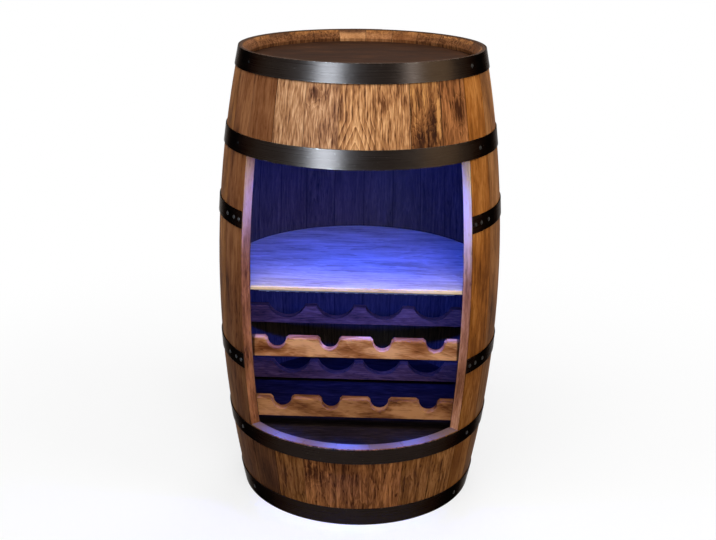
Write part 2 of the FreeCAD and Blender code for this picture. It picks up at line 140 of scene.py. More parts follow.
def ease(name, width, place_test, flat=True, cutters=()):
    """Copies a piece, cuts it, and bevels those of its sharp edges that pass the test of place."""
    bpy.ops.object.select_all(action="DESELECT")
    nodes[name].select_set(True)
    bpy.context.view_layer.objects.active = nodes[name]
    bpy.ops.object.duplicate()
    piece = bpy.context.object
    piece.name = f"{name}_eased"
    del piece["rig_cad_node"]
    bpy.ops.object.mode_set(mode="EDIT")
    bpy.ops.mesh.select_mode(type="VERT")
    bpy.ops.mesh.select_all(action="SELECT")
    bpy.ops.mesh.remove_doubles(threshold=SAME_POINT)
    bpy.ops.object.mode_set(mode="OBJECT")
    for cutter in cutters:
        cut = piece.modifiers.new("cut", "BOOLEAN")
        cut.operation = "DIFFERENCE"
        cut.object = cutter
        bpy.ops.object.modifier_apply(modifier=cut.name)
    bpy.ops.object.mode_set(mode="EDIT")
    bpy.ops.mesh.select_all(action="SELECT")
    if cutters:
        bpy.ops.mesh.remove_doubles(threshold=SLIVER)
    if flat:
        bpy.ops.mesh.dissolve_limited(angle_limit=FLAT_ANGLE)
    bpy.ops.mesh.select_mode(type="EDGE")
    bpy.ops.mesh.select_all(action="DESELECT")
    bpy.ops.mesh.edges_select_sharp(sharpness=SHARP_ANGLE)
    bpy.ops.object.mode_set(mode="OBJECT")
    outline(piece.data, place_test)
    bpy.ops.object.mode_set(mode="EDIT")
    bpy.ops.mesh.bevel(offset=width, segments=2, affect="EDGES", clamp_overlap=False)
    bpy.ops.object.mode_set(mode="OBJECT")
    bpy.ops.mesh.customdata_custom_splitnormals_clear()
    bpy.ops.object.shade_smooth_by_angle(angle=SMOOTH_ANGLE)
    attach(piece, "root")
    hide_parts(name)
    EASED[name] = piece


# %% Say which edges are eased
OPENING_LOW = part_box("lower_stave_4")[1][2]
OPENING_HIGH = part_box("upper_stave_4")[0][2]
SHELF_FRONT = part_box("shelf")[0][1]
OPENING_SIDE = STAVE_ANGLE * len(upper_staves) / 2
SAME_TURN = 0.002


def curve(height):
    """The barrel's outer radius at a height."""
    return CURVE_CENTRE + math.sqrt(CURVE_RADIUS**2 - (height - MIDDLE) ** 2)


def near(value, *goals, reach=0.2 * MM):
    """Whether a value is within reach of one of the goals."""
    return any(abs(value - goal) < reach for goal in goals)


def stave_end(point):
    """Whether a point is at the height of a sawn end of a stave."""
    return near(point.z, 0, HEIGHT, OPENING_LOW, OPENING_HIGH)


def jamb_edge(point):
    """Whether a point is on one of the two upright sides of the opening."""
    turn = abs(math.atan2(point.x, -point.y))
    return near(turn, OPENING_SIDE, reach=SAME_TURN) and OPENING_LOW < point.z < OPENING_HIGH


def hoop_rim(name):
    """A test for the points on the upper and lower rims of a hoop."""
    low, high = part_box(name)
    return lambda point: near(point.z, low[2], high[2], reach=0.3 * MM)


print(f"the opening runs from {OPENING_LOW / MM:.0f} to {OPENING_HIGH / MM:.0f} mm up")

# %% [markdown]
# ## The staves and their chime
# A cooper cuts the inside of the stave ends to a slope, called the chime, which leaves a narrow edge
# outside and stops just above the head. The frame's staves end square, but for a small bevel. The slope is
# part of a cone, so a cone of many sides is added at its place for each end, and a Boolean modifier takes
# it away from each copy. The cone is turned by half a side, so that no corner of it falls on a joint
# between staves, which would leave slivers. The cones are then deleted. The long outer edges come with a
# chamfer, which stays. What is rounded is the sawn ends of the staves, a little, and on the two staves
# beside the opening its upright inner edge instead, by more.

# %% Cut the chime and ease the staves
END_ROUND = 0.6 * MM
JAMB_ROUND = 1.8 * MM
CHIME_FACE = 5 * MM
CHIME_WALL = 4 * MM
CUTTER_PAST = 2 * MM
CUTTER_SIDES = 200
HEAD_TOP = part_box("top_head")[1][2]
SLOPE_TOP = curve(HEIGHT) - CHIME_FACE
SLOPE_FOOT = curve(HEAD_TOP + CHIME_WALL) - STAVE_THICKNESS
SLOPE = (SLOPE_TOP - SLOPE_FOOT) / (HEIGHT - HEAD_TOP - CHIME_WALL)


def chime_cutter(upside_down):
    """A cone that reaches a little past the end of the staves and as far below the slope."""
    bpy.ops.object.select_all(action="DESELECT")
    depth = HEIGHT - HEAD_TOP - CHIME_WALL + 2 * CUTTER_PAST
    small = SLOPE_FOOT - SLOPE * CUTTER_PAST
    large = SLOPE_TOP + SLOPE * CUTTER_PAST
    middle = HEIGHT + CUTTER_PAST - depth / 2
    if upside_down:
        small, large, middle = large, small, HEIGHT - middle
    half_side = math.pi / CUTTER_SIDES
    bpy.ops.mesh.primitive_cone_add(vertices=CUTTER_SIDES, radius1=small, radius2=large, depth=depth,
                                    location=(0, 0, middle), rotation=(0, 0, half_side))
    return bpy.context.object


chime_cutters = [chime_cutter(False), chime_cutter(True)]
for name in all_staves:
    if name in (full_staves[0], full_staves[-1]):
        ease(name, JAMB_ROUND, jamb_edge, cutters=chime_cutters)
    else:
        ease(name, END_ROUND, stave_end, cutters=chime_cutters)
for cutter in chime_cutters:
    bpy.data.objects.remove(cutter)
stave_faces = sum(len(piece.data.polygons) for piece in EASED.values())
print(f"{len(EASED)} staves cut and eased, {stave_faces} faces")

# %% [markdown]
# ## The hoops and the shelf
# A hoop is cut from strip steel whose rims are filed blunt, so that nobody is cut when it is driven on. The
# shelf is rounded over along its front edge only, where hands and bottles pass. The rails come rounded
# already, and the rims of the heads and the floor are out of sight.

# %% Ease the hoops and the shelf
HOOP_ROUND = 0.35 * MM
SHELF_ROUND = 1.8 * MM

hoop_fasteners = ("hoop_nails", "hoop_rivets")
hoops = [name for name in nodes if name.startswith("hoop_") and name not in hoop_fasteners]
for name in hoops:
    ease(name, HOOP_ROUND, hoop_rim(name), flat=False)
ease("shelf", SHELF_ROUND, lambda point: near(point.y, SHELF_FRONT))
print(f"{len(EASED)} pieces eased in all")

# %% [markdown]
# ## Writing down a finish
# A finish is a small network of shader nodes. Wiring nodes by hand takes many lines, so this class adds one
# node per call and gives back its output, and a finish then reads like a recipe. Colours are written as a
# screen shows them, from 0 to 255, and turned into the linear values that the renderer counts in.

# %% A recipe that adds one shader node per call
def colour(red, green, blue):
    """A screen colour as linear red, green, blue and alpha."""
    linear = []
    for value in (red, green, blue):
        share = value / 255
        linear.append(share / 12.92 if share <= 0.04045 else ((share + 0.055) / 1.055) ** 2.4)
    return (*linear, 1.0)


class Finish:
    """A material in the making. Most methods add nodes and return the output that matters."""

    def __init__(self, name, **settings):
        self.material = bpy.data.materials.new(name)
        self.material.use_nodes = True
        self.tree = self.material.node_tree
        shader = self.tree.nodes["Principled BSDF"]
        self.shader = {socket.name.lower().replace(" ", "_"): socket for socket in shader.inputs}
        self.place = self.add("TexCoord", output="Object")
        self.facing = self.add("TexCoord", output="Normal")
        self.set(**settings)

    def feed(self, socket, value):
        """Joins an output to a socket, or sets the socket to a plain value."""
        if isinstance(value, bpy.types.NodeSocket):
            self.tree.links.new(value, socket)
        else:
            socket.default_value = value

    def set(self, **settings):
        """Sets or joins the shader's own inputs, by their names in lower case."""
        for key, value in settings.items():
            self.feed(self.shader[key], value)

    def add(self, kind, inputs=None, output=0, **settings):
        """Adds a node of a kind, joins or sets its inputs, and gives back one of its outputs."""
        node = self.tree.nodes.new("ShaderNode" + kind)
        for key, value in settings.items():
            setattr(node, key, value)
        for key, value in (inputs or {}).items():
            self.feed(node.inputs[key], value)
        return node.outputs[output]

    def maths(self, operation, *values):
        """One sum on plain values or outputs."""
        return self.add("Math", dict(enumerate(values)), operation=operation)

    def total(self, *values):
        """Adds up any number of values."""
        result = values[0]
        for value in values[1:]:
            result = self.maths("ADD", result, value)
        return result

    def vector(self, operation, *values, output="Vector"):
        """One sum on places."""
        return self.add("VectorMath", dict(enumerate(values)), output, operation=operation)

    def length(self, place, weights):
        """The length of a place vector after each axis is weighted."""
        return self.vector("LENGTH", self.vector("MULTIPLY", place, weights), output="Value")

    def axes(self, place):
        """The three numbers of a place, apart."""
        return self.add("SeparateXYZ", {0: place}).node.outputs

    def moved(self, place, shift=(0, 0, 0), turn=(0, 0, 0)):
        """Turns a place, then shifts it."""
        return self.add("Mapping", {"Vector": place, "Location": shift, "Rotation": turn})

    def noise(self, place, scale, detail=2.0, roughness=0.5, output="Fac"):
        """Soft noise with so many lumps a metre along each axis."""
        stretched = self.vector("MULTIPLY", place, scale)
        inputs = {"Vector": stretched, "Scale": 1.0, "Detail": detail, "Roughness": roughness}
        return self.add("TexNoise", inputs, output)

    def swing(self, place, scale, amount, detail=2.0):
        """Noise that swings from -amount to amount about nought."""
        noise = self.noise(place, scale, detail)
        return self.maths("MULTIPLY", self.maths("SUBTRACT", noise, 0.5), amount * 2)

    def fade(self, value, start, end, low=0.0, high=1.0):
        """A smooth step from low to high as value goes from start to end."""
        inputs = {0: value, 1: start, 2: end, 3: low, 4: high}
        return self.add("MapRange", inputs, interpolation_type="SMOOTHSTEP")

    def ramp(self, value, *stops):
        """Greys or colours at places along a value."""
        made = self.add("ValToRGB", {"Fac": value})
        elements = made.node.color_ramp.elements
        for index, (place, shade) in enumerate(stops):
            element = elements[index] if index < len(elements) else elements.new(place)
            element.position = place
            element.color = shade if isinstance(shade, tuple) else (shade, shade, shade, 1.0)
        return made

    def mix(self, share, first, second, blend="MIX"):
        """The second colour over the first, by share."""
        return self.add("Mix", {0: share, 6: first, 7: second}, 2, data_type="RGBA", blend_type=blend)

    def relief(self, height, depth):
        """Joins a height pattern to the shader as relief of so many metres."""
        self.set(normal=self.add("Bump", {"Height": height, "Distance": depth, "Strength": 1.0}))


def paint(name, material):
    """Gives a finish to a piece of the frame, and to the eased copy that stands for it."""
    for piece in (nodes[name], EASED.get(name)):
        if piece:
            piece.material_slots[0].material = material


print(f"a screen grey of 128 is {colour(128, 128, 128)[0]:.3f} to the renderer")

# %% [markdown]
# ## Wood figure
# Softwood is a stack of yearly rings round the pith. A board is a slice of it, so its figure is the
# distance from the pith, cut up into rings. The board's grain runs along it, so the noise that stands for
# fibres is stretched that way, and a slower noise makes them waver. Short dark flecks stand for pores.
# Knots push the rings aside and are dark in the middle. A knot or a pale mark is given by its place across
# and along the board and its size, in millimetres, and by how many times longer than wide it is. Where a
# saw left the rings at a slant they close in a pointed arch. The flare draws it out, and is given by the
# height where it starts and how hard it pulls. The result is one number, from 0 in the darkest grain to 1
# in the lightest, which a stain then turns into colour.

# %% Parts of a wood figure
def shaken(finish, place, scale, reach):
    """A small shift of a place, drawn from noise, so many metres along each axis."""
    noise = finish.noise(place, scale, output="Color")
    return finish.vector("MULTIPLY", finish.vector("SUBTRACT", noise, (0.5, 0.5, 0.5)), reach)


def knot_reach(finish, board, own, across, along, size, stretch):
    """How many knot sizes away a place is, with a ragged outline."""
    away = finish.vector("SUBTRACT", board, (across * MM, 0, along * MM))
    reach = finish.length(away, (1 / (size * MM), 0, 1 / (size * stretch * MM)))
    return finish.total(reach, finish.swing(own, (170, 170, 60), min(1.6, 8 / size), 3.0))


def flared(finish, place, start, pull):
    """How far the rings are drawn out below a start, which closes them in an arch."""
    below = finish.maths("MINIMUM", finish.maths("SUBTRACT", finish.axes(place)["Z"], start * MM), 0.0)
    return finish.maths("MULTIPLY", below, pull)


def ring_shade(finish, distance, spacing, strength):
    """Yearly rings from the distance to the pith: slow to darken, quick to lighten."""
    year = finish.maths("FRACT", finish.maths("DIVIDE", distance, spacing * MM))
    shade = finish.ramp(year, (0.0, 0.6), (0.45, 0.5), (0.8, 0.25), (0.9, 0.9), (1.0, 0.6))
    return finish.maths("MULTIPLY", finish.maths("SUBTRACT", shade, 0.5), strength)


# %% Wood figure for any board
def wood_figure(finish, board, draws, pith=None, lean=None, skew=0.0, spacing=3.4, rings=0.3,
                grain=(210, 34), contrast=1.0, flecks=0.25, patches=0.3, flare=None, knots=(), pale=()):
    """How light the wood is at a place that is given across, into and along a board."""
    drawn_pith = (draws.uniform(-25, 25), draws.uniform(30, 110))
    drawn_lean = draws.uniform(-0.03, 0.03)
    own = finish.moved(board, shift=(draws.uniform(1, 9), draws.uniform(1, 9), draws.uniform(1, 9)))
    pith = pith or drawn_pith
    lean = drawn_lean if lean is None else lean

    fibres = finish.vector("ADD", own, shaken(finish, own, (80, 80, 26), (0.007, 0.003, 0)))
    bent = finish.vector("ADD", board, shaken(finish, own, (13, 13, 4), (0.012, 0.024, 0)))
    from_pith = finish.moved(bent, shift=(-pith[0] * MM, pith[1] * MM, 0), turn=(-lean, skew, 0))
    ragged = finish.swing(fibres, (170, 170, 30), 0.0012)
    distance = finish.total(finish.length(from_pith, (1, 1, 0)), ragged)
    if flare:
        distance = finish.total(distance, flared(finish, bent, *flare))

    marks = 0.0
    for across, along, size, stretch in knots:
        reach = knot_reach(finish, board, own, across, along, size, stretch)
        distance = finish.total(distance, finish.fade(reach, 0.0, 3.5, size * 0.9 * MM, 0.0))
        marks = finish.total(marks, finish.fade(reach, 0.1, 2.2, -0.24, 0.0))
    for across, along, size, stretch in pale:
        reach = knot_reach(finish, board, own, across, along, size, stretch)
        marks = finish.total(marks, finish.fade(reach, 0.5, 1.6, 0.4, 0.0))

    ring = ring_shade(finish, distance, spacing, rings)
    strokes = finish.swing(fibres, (grain[0], grain[0], grain[1]), 0.62 * contrast, 3.0)
    fine = finish.swing(fibres, (620, 620, 70), 0.4 * contrast)
    patch = finish.swing(own, (34, 34, 11), patches)
    fleck = finish.fade(finish.noise(fibres, (290, 290, 60), 2.0), 0.6, 0.7, 0.0, -flecks * contrast)
    figure = finish.total(0.5, ring, strokes, fine, patch, fleck, marks)
    height = finish.total(ring, finish.maths("MULTIPLY", finish.total(fine, strokes), 0.5))
    return figure, height


print("wood figure ready")

# %% [markdown]
# ## Stains
# A stain is three colours of one wood: in the dark grain, in the body and in the light grain. The boards of
# a barrel come from different trees, so they take the same stain differently.

# %% The stains
STAINS = {
    "straw": (colour(104, 64, 42), colour(176, 126, 86), colour(222, 176, 134)),
    "wheat": (colour(104, 62, 36), colour(178, 124, 78), colour(226, 174, 122)),
    "mixed": (colour(62, 36, 22), colour(132, 82, 45), colour(200, 142, 82)),
    "rust": (colour(74, 41, 22), colour(138, 85, 47), colour(190, 124, 72)),
    "brown": (colour(80, 47, 24), colour(132, 83, 42), colour(168, 114, 66)),
    "russet": (colour(72, 41, 24), colour(120, 74, 44), colour(150, 102, 66)),
    "umber": (colour(50, 30, 18), colour(84, 51, 30), colour(114, 75, 46)),
    "amber": (colour(108, 60, 22), colour(152, 90, 36), colour(194, 128, 64)),
    "walnut": (colour(28, 16, 9), colour(47, 27, 15), colour(74, 45, 26)),
    "honey": (colour(54, 32, 18), colour(96, 59, 34), colour(146, 98, 62)),
    "toffee": (colour(78, 44, 24), colour(114, 70, 39), colour(156, 106, 66)),
    "caramel": (colour(94, 56, 32), colour(140, 92, 56), colour(180, 130, 88)),
    "cream": (colour(118, 74, 44), colour(166, 116, 74), colour(202, 152, 106)),
    "smoked": (colour(36, 29, 24), colour(62, 51, 42), colour(86, 71, 58)),
    "birch": (colour(200, 164, 122), colour(246, 212, 160), colour(250, 230, 190)),
    "raw": (colour(150, 104, 68), colour(206, 156, 108), colour(232, 194, 150)),
    "ink": (colour(16, 11, 9), colour(27, 20, 17), colour(42, 32, 27)),
    "sawn": (colour(122, 76, 44), colour(176, 118, 74), colour(212, 162, 114)),
    "rail": (colour(104, 56, 24), colour(158, 100, 54), colour(216, 158, 102)),
    "low rail": (colour(78, 43, 20), colour(130, 82, 45), colour(178, 124, 75)),
    "pale": (colour(150, 130, 92), colour(188, 170, 128), colour(216, 202, 160)),
}


def stained(finish, figure, stain):
    """Turns figure into the colours of one stain."""
    dark, body, light = STAINS[stain]
    deepest = tuple(value * 0.35 for value in dark[:3]) + (1.0,)
    return finish.ramp(figure, (0.0, deepest), (0.26, dark), (0.5, body), (0.78, light))


print(f"{len(STAINS)} stains mixed")

# %% [markdown]
# ## The staves
# Each stave gets its own finish. Its grain follows the bend, so the depth of a place is measured inwards
# from the barrel's curve. The joints between staves hold dark stain. The long staves carry painted shade:
# they are darker towards the foot and a little lighter high up. The end grain drinks more stain than the
# faces and is dark. The inside of the cabinet is smoked grey, but the chime above the head was cut last and
# is still amber. The edges that frame the opening were sawn last too: the level ones are a dull brown. The
# two long ones, the jambs, are paler above than below. That is painted light, as light falls strongest on
# them near the top. A jamb's look is its stain below, its paler painted-light stain above, and the height
# where the one starts to fade into the other.

# %% Finish one stave
JOINT = math.tan(STAVE_ANGLE / 2)
# Dark stain in the joints between staves, and also the painted shadow at the ends of the front rails.
JOINT_STAIN_AND_SHADOW = colour(26, 15, 9)
END_GRAIN = colour(64, 42, 28)
LEVEL_CUT = colour(106, 84, 66)
INSIDE_FROM = 8 * MM
INSIDE_TO = 14 * MM
# Painted shade on the long staves: from and to what height it changes, and how dark and light it is there.
FOOT_PAINTED_SHADE = (50 * MM, 500 * MM, 0.58, 1.06)
# A jamb's stain below, its paler stain above that is painted light, and the height where the light fades in.
JAMB_LIGHT_FADE = 150 * MM
JAMBS = {"full_stave_01": ("sawn", "birch", 400), "full_stave_18": ("rust", "raw", 440)}


def jamb_wood_and_light(finish, name, figure, along):
    """A sawn long edge: its stain below, fading into a paler stain above that is painted light."""
    below, above, change = JAMBS[name]
    share = finish.fade(along, change * MM, change * MM + JAMB_LIGHT_FADE)
    return finish.mix(share, stained(finish, figure, below), stained(finish, figure, above))


def stave_finish(name, draws, stain="brown", joint=0.6, inner_stain="honey", **figure_settings):
    """The finish of one stave, with its grain along the bend."""
    finish = Finish(f"{name}_wood", roughness=0.5, specular_ior_level=0.008)
    turned = finish.moved(finish.place, turn=(0, 0, -facing(name)))
    across, out, along = finish.axes(turned)
    rise = finish.maths("SUBTRACT", along, MIDDLE)
    reach_squared = finish.maths("SUBTRACT", CURVE_RADIUS**2, finish.maths("MULTIPLY", rise, rise))
    depth = finish.total(out, finish.maths("SQRT", reach_squared), CURVE_CENTRE)
    board = finish.add("CombineXYZ", {0: across, 1: depth, 2: along})
    figure, height = wood_figure(finish, board, draws, **figure_settings)

    calm = finish.maths("MULTIPLY_ADD", figure, 0.5, 0.25)
    chime = finish.fade(along, HEAD_TOP - 6 * MM, HEAD_TOP)
    lively = finish.maths("MULTIPLY_ADD", figure, 0.65, 0.175)
    inside = finish.mix(chime, stained(finish, calm, "smoked"), stained(finish, lively, inner_stain))
    wood = finish.mix(finish.fade(depth, INSIDE_FROM, INSIDE_TO), stained(finish, figure, stain), inside)

    aside = finish.maths("DIVIDE", finish.maths("ABSOLUTE", across), finish.maths("MULTIPLY", out, -1))
    # Painted shade: the long staves are darker towards the foot and a little lighter above.
    if name in full_staves:
        shade = finish.fade(along, *FOOT_PAINTED_SHADE)
        grey = finish.add("CombineXYZ", {0: shade, 1: shade, 2: shade})
        wood = finish.mix(1.0, wood, grey, blend="MULTIPLY")
    crack = finish.fade(aside, JOINT * 0.95, JOINT * 0.99, 0.0, joint)
    wood = finish.mix(crack, wood, JOINT_STAIN_AND_SHADOW)
    level = finish.fade(finish.maths("ABSOLUTE", finish.axes(finish.facing)["Z"]), 0.6, 0.9, 0.0, 0.92)
    wood = finish.mix(level, wood, LEVEL_CUT)
    end = finish.fade(finish.maths("ABSOLUTE", rise), MIDDLE - 2 * MM, MIDDLE - 0.5 * MM, 0.0, 0.95)
    wood = finish.mix(end, wood, END_GRAIN)
    # Painted light: a jamb's sawn edge is paler above, where light falls strongest.
    if name in JAMBS:
        sawn = finish.maths("GREATER_THAN", aside, JOINT * 0.998)
        wood = finish.mix(sawn, wood, jamb_wood_and_light(finish, name, figure, along))
    finish.set(base_color=wood)
    finish.relief(height, 0.5 * MM)
    return finish.material


# %% Stain every stave
SMOOTH = {"grain": (260, 9), "contrast": 0.5, "rings": 0.12}
WEATHERED = {"grain": (200, 12), "contrast": 0.5, "rings": 0.1, "patches": 0.5}
FEATHERED = {"stain": "straw", "grain": (330, 38), "contrast": 0.85, "flecks": 0.06, "patches": 0.25}
STAVE_LOOKS = {
    "full_stave_18": {"stain": "russet", "joint": 0.3, **WEATHERED},
    "upper_stave_1": {"stain": "russet", "joint": 0.5, **SMOOTH},
    "upper_stave_2": {**FEATHERED, "joint": 0.3},
    "upper_stave_3": {**FEATHERED, "joint": 0.3, "knots": [(-12, 751, 7, 1.2)]},
    "upper_stave_4": {
        **FEATHERED,
        "stain": "wheat",
        "joint": 0.25,
        "pith": (-3, 5),
        "lean": 0.0,
        "rings": 0.6,
        "spacing": 9.0,
        "flare": (715, 0.38),
        "contrast": 0.8,
    },
    "upper_stave_5": {**FEATHERED, "stain": "wheat", "joint": 0.25, "knots": [(-17, 733, 3, 3)]},
    "upper_stave_6": {
        "stain": "mixed",
        "joint": 0.9,
        "knots": [(9, 704, 7, 3.0), (-8, 674, 15, 1.1)],
        "pale": [(22, 720, 3, 12)],
    },
    "upper_stave_7": {
        "stain": "rust",
        "joint": 0.8,
        "grain": (230, 20),
        "contrast": 0.75,
        "knots": [(12, 718, 8, 1.6)],
    },
    "full_stave_01": {"stain": "amber", "joint": 0.6, **WEATHERED},
    "full_stave_02": {"stain": "brown", "joint": 0.5, **WEATHERED},
    "full_stave_17": {"stain": "brown", "joint": 0.4, **WEATHERED},
    "full_stave_08": {"inner_stain": "toffee"},
    "full_stave_09": {"inner_stain": "caramel"},
    "full_stave_10": {"inner_stain": "cream"},
    "lower_stave_1": {"stain": "umber", "joint": 0.5, **SMOOTH},
    "lower_stave_2": {"stain": "brown", "joint": 0.3, "contrast": 0.9},
    "lower_stave_3": {"stain": "rust", "joint": 0.3, "contrast": 0.9, "knots": [(-11, 102, 9, 1.2)]},
    "lower_stave_4": {"stain": "rust", "joint": 0.2, "contrast": 0.8},
    "lower_stave_5": {"stain": "rust", "joint": 0.2, "contrast": 0.8},
    "lower_stave_6": {"stain": "brown", "joint": 0.2, "contrast": 0.8},
    "lower_stave_7": {"stain": "brown", "joint": 0.3, "knots": [(-5, 97, 6, 1.6)]},
}
OTHER_STAINS = ("brown", "russet", "brown", "mixed", "umber", "amber")

draws = random.Random(11)
for name in all_staves:
    look = {"stain": draws.choice(OTHER_STAINS), "contrast": draws.uniform(0.5, 0.9), "grain": (230, 14)}
    look.update(STAVE_LOOKS.get(name, {}))
    paint(name, stave_finish(name, draws, **look))
print(f"{len(all_staves)} staves stained")

# %% [markdown]
# ## The flat boards
# The heads, the floor, the shelf, the rails and the cleats are flat, so their grain runs along one axis.
# The order of the axes puts across, into and along the board in the places that the figure expects. The
# shelf's front edge is bare and pale. The ends of the front rails carry painted shadow: they darken where
# they meet the wall, as the jambs shade them.

# %% Finish the flat boards
def flat_finish(name, stain, order, draws, front_stain=None, painted_shadow_from=None, **figure_settings):
    """The finish of a flat board. Order gives the axes across, into and along it."""
    finish = Finish(f"{name}_wood", roughness=0.55, specular_ior_level=0.006)
    axes = finish.axes(finish.place)
    board = finish.add("CombineXYZ", {index: axes[axis] for index, axis in enumerate(order)})
    figure, height = wood_figure(finish, board, draws, **figure_settings)
    wood = stained(finish, figure, stain)
    if front_stain:
        front = finish.fade(finish.axes(finish.facing)["Y"], -0.8, -0.3, 1.0, 0.0)
        wood = finish.mix(front, wood, stained(finish, figure, front_stain))
    # Painted shadow: the ends of the front rails are darkened where the jambs shade them.
    if painted_shadow_from:
        from_middle = finish.maths("ABSOLUTE", axes["X"])
        end = finish.fade(from_middle, painted_shadow_from * MM, (painted_shadow_from + 3) * MM, 0.0, 0.85)
        wood = finish.mix(end, wood, JOINT_STAIN_AND_SHADOW)
    finish.set(base_color=wood)
    finish.relief(height, 0.3 * MM)
    return finish.material


DIAGONAL = {
    "pith": (200, 60),
    "lean": 0.0,
    "skew": 0.45,
    "spacing": 13.0,
    "rings": 0.16,
    "grain": (60, 14),
    "contrast": 0.5,
    "patches": 0.8,
    # painted shadow at the rail ends, beyond so many millimetres from the middle
    "painted_shadow_from": 172,
}
UPPER_RAIL = {**DIAGONAL, "pale": [(300, -88, 14, 2.4)], "knots": [(298, 4, 12, 2.4)]}
LOWER_RAIL = {**DIAGONAL, "pale": [(187, 92, 12, 2.4)]}
BOARDS = {
    "top_head": ("walnut", "YZX", {"contrast": 0.3, "rings": 0.08, "patches": 0.25}),
    "bottom_head": ("brown", "YZX", {}),
    "cabinet_floor": ("ink", "YZX", {"contrast": 0.6}),
    "shelf": ("pale", "YZX", {"contrast": 0.5, "grain": (180, 9), "front_stain": "birch"}),
    "front_rail_upper": ("rail", "ZYX", UPPER_RAIL),
    "front_rail_lower": ("low rail", "ZYX", LOWER_RAIL),
    "rear_rail_upper": ("umber", "ZYX", {"contrast": 0.5}),
    "rear_rail_lower": ("umber", "ZYX", {"contrast": 0.5}),
    "floor_cleats": ("smoked", "ZYX", {}),
    "shelf_cleats": ("smoked", "ZYX", {}),
    "rail_dowels": ("raw", "ZYX", {}),
}
for name, (stain, order, settings) in BOARDS.items():
    paint(name, flat_finish(name, stain, order, draws, **settings))
print(f"{len(BOARDS)} flat boards finished")

# %% [markdown]
# ## The hoops
# A hoop is a strip of mild steel, painted near black and bent round the barrel. Its paint is satin, brushed
# along the strip by rolling and handling, and worn to bare metal on the edges.

# %% Finish the hoops
def hoop_finish(name):
    """Near-black satin steel with streaks along the strip and wear on its own two edges."""
    finish = Finish(f"{name}_steel", metallic=1.0, specular_tint=(0.3, 0.27, 0.25, 1.0))
    low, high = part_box(name)
    brushing = finish.noise(finish.place, (9, 9, 900), 3.0)
    cloud = finish.noise(finish.place, (30, 30, 60), 3.0)
    speck = finish.noise(finish.place, (350, 350, 500), 3.0)
    height = finish.axes(finish.place)["Z"]
    above_low = finish.maths("SUBTRACT", height, low[2])
    below_high = finish.maths("SUBTRACT", high[2], height)
    rim = finish.fade(finish.maths("MINIMUM", above_low, below_high), 0.3 * MM, 1.6 * MM, 1.0, 0.0)
    wear = finish.fade(finish.total(speck, finish.maths("MULTIPLY", rim, 0.15)), 0.66, 0.8, 0.0, 0.5)
    coat = finish.mix(cloud, colour(26, 20, 17), colour(34, 27, 23))
    coat = finish.mix(finish.maths("MULTIPLY", brushing, 0.5), coat, colour(44, 36, 31))
    finish.set(base_color=finish.mix(wear, coat, colour(92, 84, 76)))
    rubbed = finish.total(brushing, finish.maths("MULTIPLY", cloud, 0.4))
    finish.set(roughness=finish.fade(rubbed, 0.4, 1.0, 0.25, 0.33))
    finish.relief(finish.total(brushing, cloud), 0.06 * MM)
    return finish.material


for name in hoops:
    paint(name, hoop_finish(name))
print(f"{len(hoops)} hoops painted")

# %% [markdown]
# ## Nails, screws and small fittings
# The nail and rivet heads are bare steel, dulled and slightly rusty. The nails at the front left of the two
# top hoops carry painted shade: they are as dark as the hoop, with a dimmer reflection. The fittings of the
# light are a silicone strip with its chips, a plastic controller on a foam pad, and a rubber grommet where
# the lead leaves. The chips glow only a little, because small lamps do their work further on.

# %% Finish the metal, rubber and plastic
STEEL_DULL = colour(20, 17, 15)
STEEL_BRIGHT = colour(44, 40, 37)
STEEL_GRAIN = 700


def speckle(finish, dull, bright, scale):
    """Two close colours in fine speckles, with a matching relief."""
    noise = finish.noise(finish.place, (scale, scale, scale), 4.0, 0.65)
    finish.relief(noise, 0.05 * MM)
    return finish.ramp(noise, (0.35, dull), (0.65, bright))


def speckled_finish(name, dull, bright, scale, **settings):
    """A finish of speckles alone."""
    finish = Finish(name, **settings)
    finish.set(base_color=speckle(finish, dull, bright, scale))
    return finish.material


def hoop_nail_finish():
    """Dull steel, with the nails at the front left of the two top hoops as dark as the hoop and dimly
    reflecting, as painted shade.
    """
    finish = Finish("hoop_nail_steel", metallic=1.0, roughness=0.55)
    bare = speckle(finish, STEEL_DULL, STEEL_BRIGHT, STEEL_GRAIN)
    aside, rearward, height = finish.axes(finish.place)
    front_left = finish.maths("LESS_THAN", finish.maths("MAXIMUM", aside, rearward), 0.0)
    # Painted shade: the front-left nails of the two top hoops are darkened, with a dimmer reflection.
    painted_shade = finish.maths("MULTIPLY", front_left, finish.maths("GREATER_THAN", height, OPENING_HIGH))
    finish.set(base_color=finish.mix(painted_shade, bare, colour(9, 7, 6)))
    finish.set(specular_tint=finish.mix(painted_shade, (1.0, 1.0, 1.0, 1.0), (0.15, 0.15, 0.15, 1.0)))
    return finish.material


hoop_nail_steel = hoop_nail_finish()
nail_steel = speckled_finish("nail_steel", STEEL_DULL, STEEL_BRIGHT, STEEL_GRAIN,
                             metallic=1.0, roughness=0.55)
screw_steel = speckled_finish("screw_steel", colour(120, 112, 96), colour(190, 182, 165), 500,
                              metallic=1.0, roughness=0.32)
grommet_rubber = speckled_finish("grommet_rubber", colour(18, 18, 19), colour(34, 34, 36), 900,
                                 roughness=0.62)
pad_foam = speckled_finish("pad_foam", colour(150, 150, 148), colour(214, 214, 210), 1400, roughness=0.9)
controller_plastic = speckled_finish("controller_plastic", colour(206, 206, 203), colour(226, 226, 224), 1100,
                                     roughness=0.5)
print("fittings have their finishes")

# %% Finish the light strips
LED_BLUE = (0.015, 0.05, 1.0)


def glowing_finish(name, dull, bright, strength):
    """A milky strip or chip that glows blue, a little unevenly."""
    finish = Finish(name, roughness=0.35, emission_strength=strength)
    cloud = finish.noise(finish.place, (160, 160, 160), 3.0)
    finish.set(base_color=finish.mix(cloud, dull, bright))
    finish.set(emission_color=finish.mix(cloud, (*LED_BLUE, 1.0), (0.12, 0.2, 1.0, 1.0)))
    return finish.material


